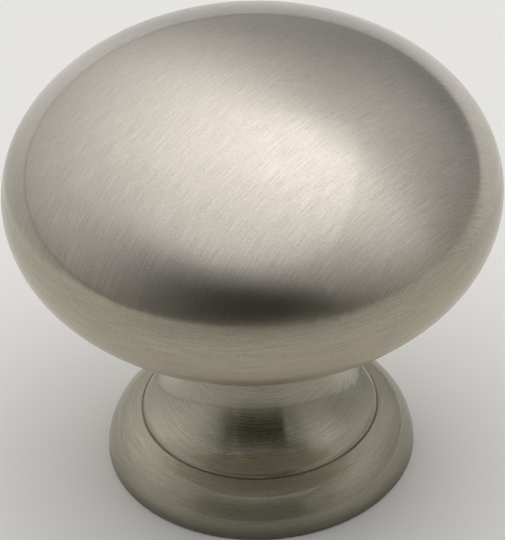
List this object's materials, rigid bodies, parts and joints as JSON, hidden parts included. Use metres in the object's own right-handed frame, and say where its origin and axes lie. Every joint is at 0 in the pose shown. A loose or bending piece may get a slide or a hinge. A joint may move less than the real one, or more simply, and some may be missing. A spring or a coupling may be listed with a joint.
{
  "type": "cabinet knob",
  "caption": "Round cabinet knob: an oval mushroom head on a waisted neck, a thin raised lip and a round base flange with a tapped hole underneath.",
  "frame": {"origin": "centre of the base's underside, where the knob's axis meets the door's face", "axes": "+Z along the knob's axis, out of the door and towards the top of the dome"},
  "size_m": [0.0318, 0.0318, 0.0295],
  "materials": {
    "satin_nickel": "brushed satin nickel plating under clear lacquer"
  },
  "bodies": {
    "root": {"knob_body": "satin_nickel"}
  },
  "joints": []
}
